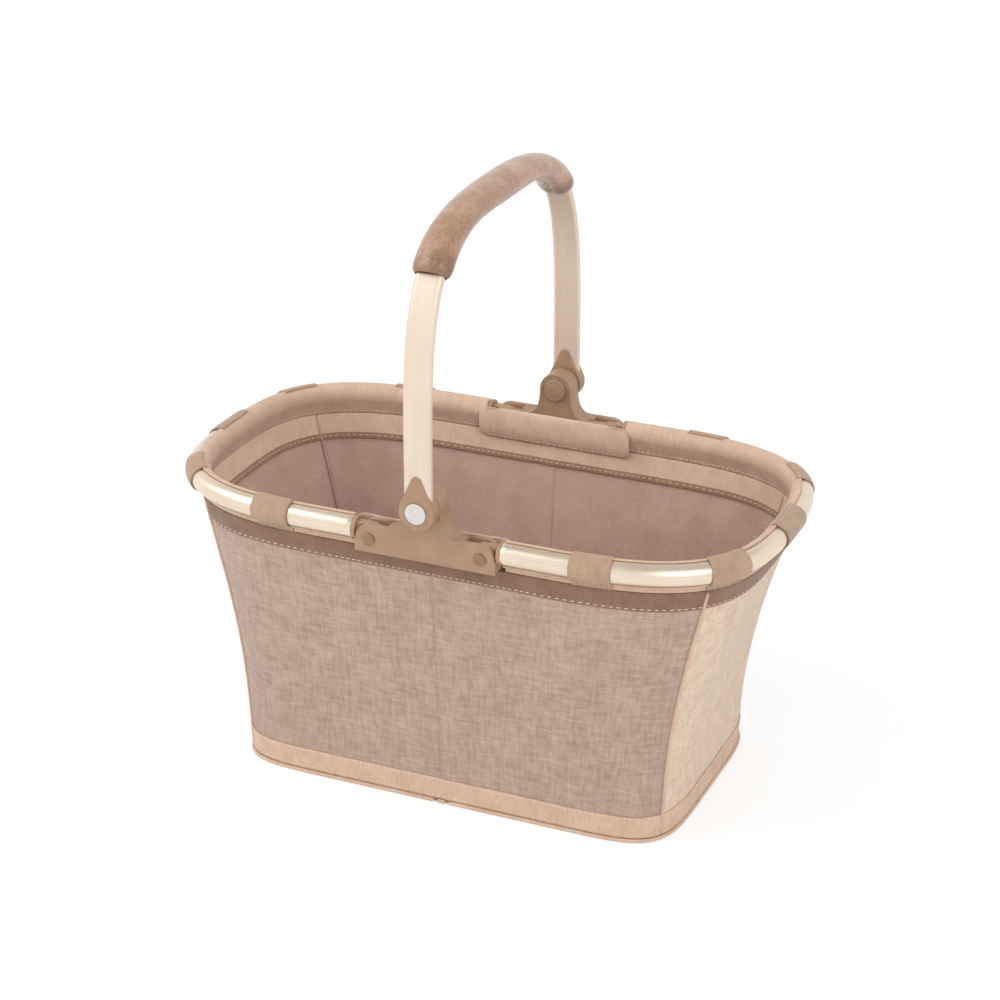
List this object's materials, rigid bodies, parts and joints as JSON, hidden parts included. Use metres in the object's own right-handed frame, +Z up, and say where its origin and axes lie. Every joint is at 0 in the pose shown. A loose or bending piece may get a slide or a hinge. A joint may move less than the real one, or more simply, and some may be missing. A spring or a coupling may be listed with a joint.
{
  "type": "folding shopping basket",
  "caption": "Oval cloth shopping basket on an aluminium rim that folds in half, with a swing handle carrying a soft grip, hinged base boards and sewn hem loops.",
  "frame": {"origin": "middle of the base, on the surface that the basket stands on", "axes": "+X along the basket's length, +Y from the front towards the back, +Z up"},
  "size_m": [0.4772, 0.2922, 0.4682],
  "materials": {
    "champagne_aluminium": "satin anodised, pale champagne",
    "rivet_steel": "bright riveted steel",
    "brown_plastic": "fine moulded grain",
    "grip_leather": "smooth saddle brown, stitched underneath",
    "side_cloth": "taupe melange plain weave",
    "end_cloth": "cream melange plain weave",
    "hem_cloth": "brown webbing",
    "base_board": "matt stiffening board"
  },
  "bodies": {
    "root": {"front_hinge_block": "brown_plastic", "front_left_rim_pin": "rivet_steel", "front_right_rim_pin": "rivet_steel", "front_handle_pin": "rivet_steel", "front_handle_washer": "brown_plastic", "back_hinge_block": "brown_plastic", "back_left_rim_pin": "rivet_steel", "back_right_rim_pin": "rivet_steel", "back_handle_pin": "rivet_steel", "back_handle_washer": "brown_plastic", "base_fold_strip": "hem_cloth"},
    "handle": {"handle_tube": "champagne_aluminium", "handle_grip": "grip_leather", "front_handle_shoe": "brown_plastic", "back_handle_shoe": "brown_plastic"},
    "left_frame": {"left_rim_tube": "champagne_aluminium", "left_rim_hem": "hem_cloth", "left_front_plug": "brown_plastic", "left_back_plug": "brown_plastic"},
    "left_walls": {"left_end_panel": "end_cloth", "front_left_panel": "side_cloth", "back_left_panel": "side_cloth"},
    "left_base": {"left_base_board": "base_board", "left_bottom_panel": "side_cloth"},
    "right_frame": {"right_rim_tube": "champagne_aluminium", "right_rim_hem": "hem_cloth", "right_front_plug": "brown_plastic", "right_back_plug": "brown_plastic"},
    "right_walls": {"right_end_panel": "end_cloth", "front_right_panel": "side_cloth", "back_right_panel": "side_cloth"},
    "right_base": {"right_base_board": "base_board", "right_bottom_panel": "side_cloth"}
  },
  "joints": [
    {"name": "handle_swing", "type": "hinge", "parent": "root", "child": "handle", "pos_m": [0, 0, 0.257], "axis": [0, 1, 0], "range_deg": [-90, 90]},
    {"name": "left_fold", "type": "hinge", "parent": "root", "child": "left_frame", "pos_m": [-0.044, 0, 0.224], "axis": [0, 1, 0], "range_deg": [0, 90], "deforming": ["left_end_panel", "front_left_panel", "back_left_panel"]},
    {"name": "left_wall_swing", "type": "hinge", "parent": "left_frame", "child": "left_walls", "pos_m": [-0.229, 0, 0.228], "axis": [0, 1, 0], "range_deg": [-90, 0]},
    {"name": "left_base_fold", "type": "hinge", "parent": "root", "child": "left_base", "pos_m": [-0.005, 0, 0.001], "axis": [0, 1, 0], "range_deg": [0, 90]},
    {"name": "right_fold", "type": "hinge", "parent": "root", "child": "right_frame", "pos_m": [0.044, 0, 0.224], "axis": [0, 1, 0], "range_deg": [-90, 0], "deforming": ["right_end_panel", "front_right_panel", "back_right_panel"]},
    {"name": "right_wall_swing", "type": "hinge", "parent": "right_frame", "child": "right_walls", "pos_m": [0.229, 0, 0.228], "axis": [0, 1, 0], "range_deg": [0, 90]},
    {"name": "right_base_fold", "type": "hinge", "parent": "root", "child": "right_base", "pos_m": [0.005, 0, 0.001], "axis": [0, 1, 0], "range_deg": [-90, 0]}
  ],
  "couplings": [
    {"joint": "left_wall_swing", "follows": "left_fold", "ratio": -0.9556},
    {"joint": "left_base_fold", "follows": "left_fold", "ratio": 1},
    {"joint": "right_wall_swing", "follows": "right_fold", "ratio": -0.9556},
    {"joint": "right_base_fold", "follows": "right_fold", "ratio": 1}
  ]
}
